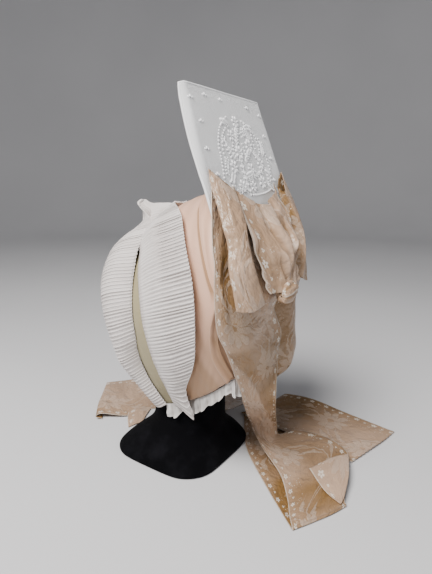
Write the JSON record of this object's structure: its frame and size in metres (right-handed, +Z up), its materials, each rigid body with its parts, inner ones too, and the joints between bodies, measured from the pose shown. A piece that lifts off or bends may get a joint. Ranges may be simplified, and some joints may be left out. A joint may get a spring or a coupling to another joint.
{
  "type": "coif on display stand",
  "caption": "Pleated white coif with turned-back frills, silk caul, upright embroidered board and satin bow with long ribbon tails, on a black velvet display stand.",
  "frame": {"origin": "on the floor under the centre of the display stand's foot", "axes": "+Z up, -Y towards the face opening, +Y towards the bow, +X towards the wearer's left"},
  "size_m": [0.2589, 0.393, 0.379],
  "materials": {
    "black_velvet": "matte velvet",
    "olive_cream_lining": "matte",
    "peach_silk": "soft sheen",
    "white_pleated_linen": "matte, pleated",
    "sheer_white_tulle": "matte, sheer",
    "white_embroidered_linen": "matte, embroidered",
    "champagne_satin_brocade": "satin, woven pattern"
  },
  "bodies": {
    "root": {"stand_foot": "black_velvet", "stand_post": "black_velvet", "stand_pad": "black_velvet", "foundation_cap": "olive_cream_lining", "caul_front_fold": "peach_silk", "caul_back_fold": "peach_silk", "caul_nape_panel": "peach_silk", "front_frill": "white_pleated_linen", "back_frill": "white_pleated_linen", "nape_frill": "sheer_white_tulle", "crown_board": "white_embroidered_linen", "bow_loop_left": "champagne_satin_brocade", "bow_loop_right": "champagne_satin_brocade", "bow_middle": "champagne_satin_brocade", "bow_knot": "champagne_satin_brocade", "ribbon_tail_left": "champagne_satin_brocade", "ribbon_tail_right": "champagne_satin_brocade"}
  },
  "joints": []
}
